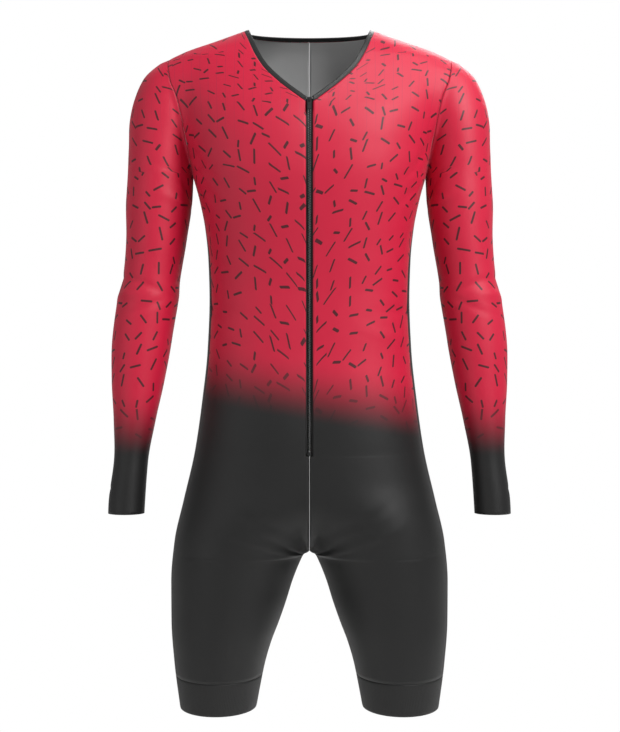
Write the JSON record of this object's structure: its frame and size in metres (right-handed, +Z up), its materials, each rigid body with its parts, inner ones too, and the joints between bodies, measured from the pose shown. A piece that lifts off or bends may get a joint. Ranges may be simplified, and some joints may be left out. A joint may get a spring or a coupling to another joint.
{
  "type": "cycling skinsuit",
  "caption": "Long-sleeved one-piece cycling skinsuit with a front zip, held in its hollow worn shape.",
  "frame": {"origin": "on the middle line, level with the sides of the neck, where the wearer's shoulders carry the suit", "axes": "+Z up, -Y towards the wearer's front, +X towards the wearer's left"},
  "size_m": [0.52, 0.2352, 0.8929],
  "materials": {
    "printed_cloth": "smooth stretch knit, red with small dark dashes, fading to black below the waist and at the forearms",
    "black_cloth": "black stretch knit with a soft sheen",
    "grip_band": "ribbed black elastic band",
    "trim": "black woven tape and elastic binding",
    "zip_plastic": "black nylon coil",
    "zip_metal": "dark enamelled metal"
  },
  "bodies": {
    "suit": {"front_left": "printed_cloth", "front_right": "printed_cloth", "back_left": "printed_cloth", "back_right": "printed_cloth", "side_left": "black_cloth", "side_right": "black_cloth", "sleeve_left": "printed_cloth", "sleeve_right": "printed_cloth", "leg_band_left": "grip_band", "leg_band_right": "grip_band", "zip_tape_left": "trim", "zip_tape_right": "trim", "neck_binding": "trim", "zip_chain": "zip_plastic", "zip_bottom_stop": "zip_metal", "zip_slider": "zip_metal"},
    "pull": {"zip_pull": "zip_metal"}
  },
  "joints": [
    {"name": "pull_swing", "type": "hinge", "parent": "suit", "child": "pull", "pos_m": [0, -0.10519, -0.11069], "axis": [1, 0, 0], "range_deg": [-150, 0]}
  ]
}
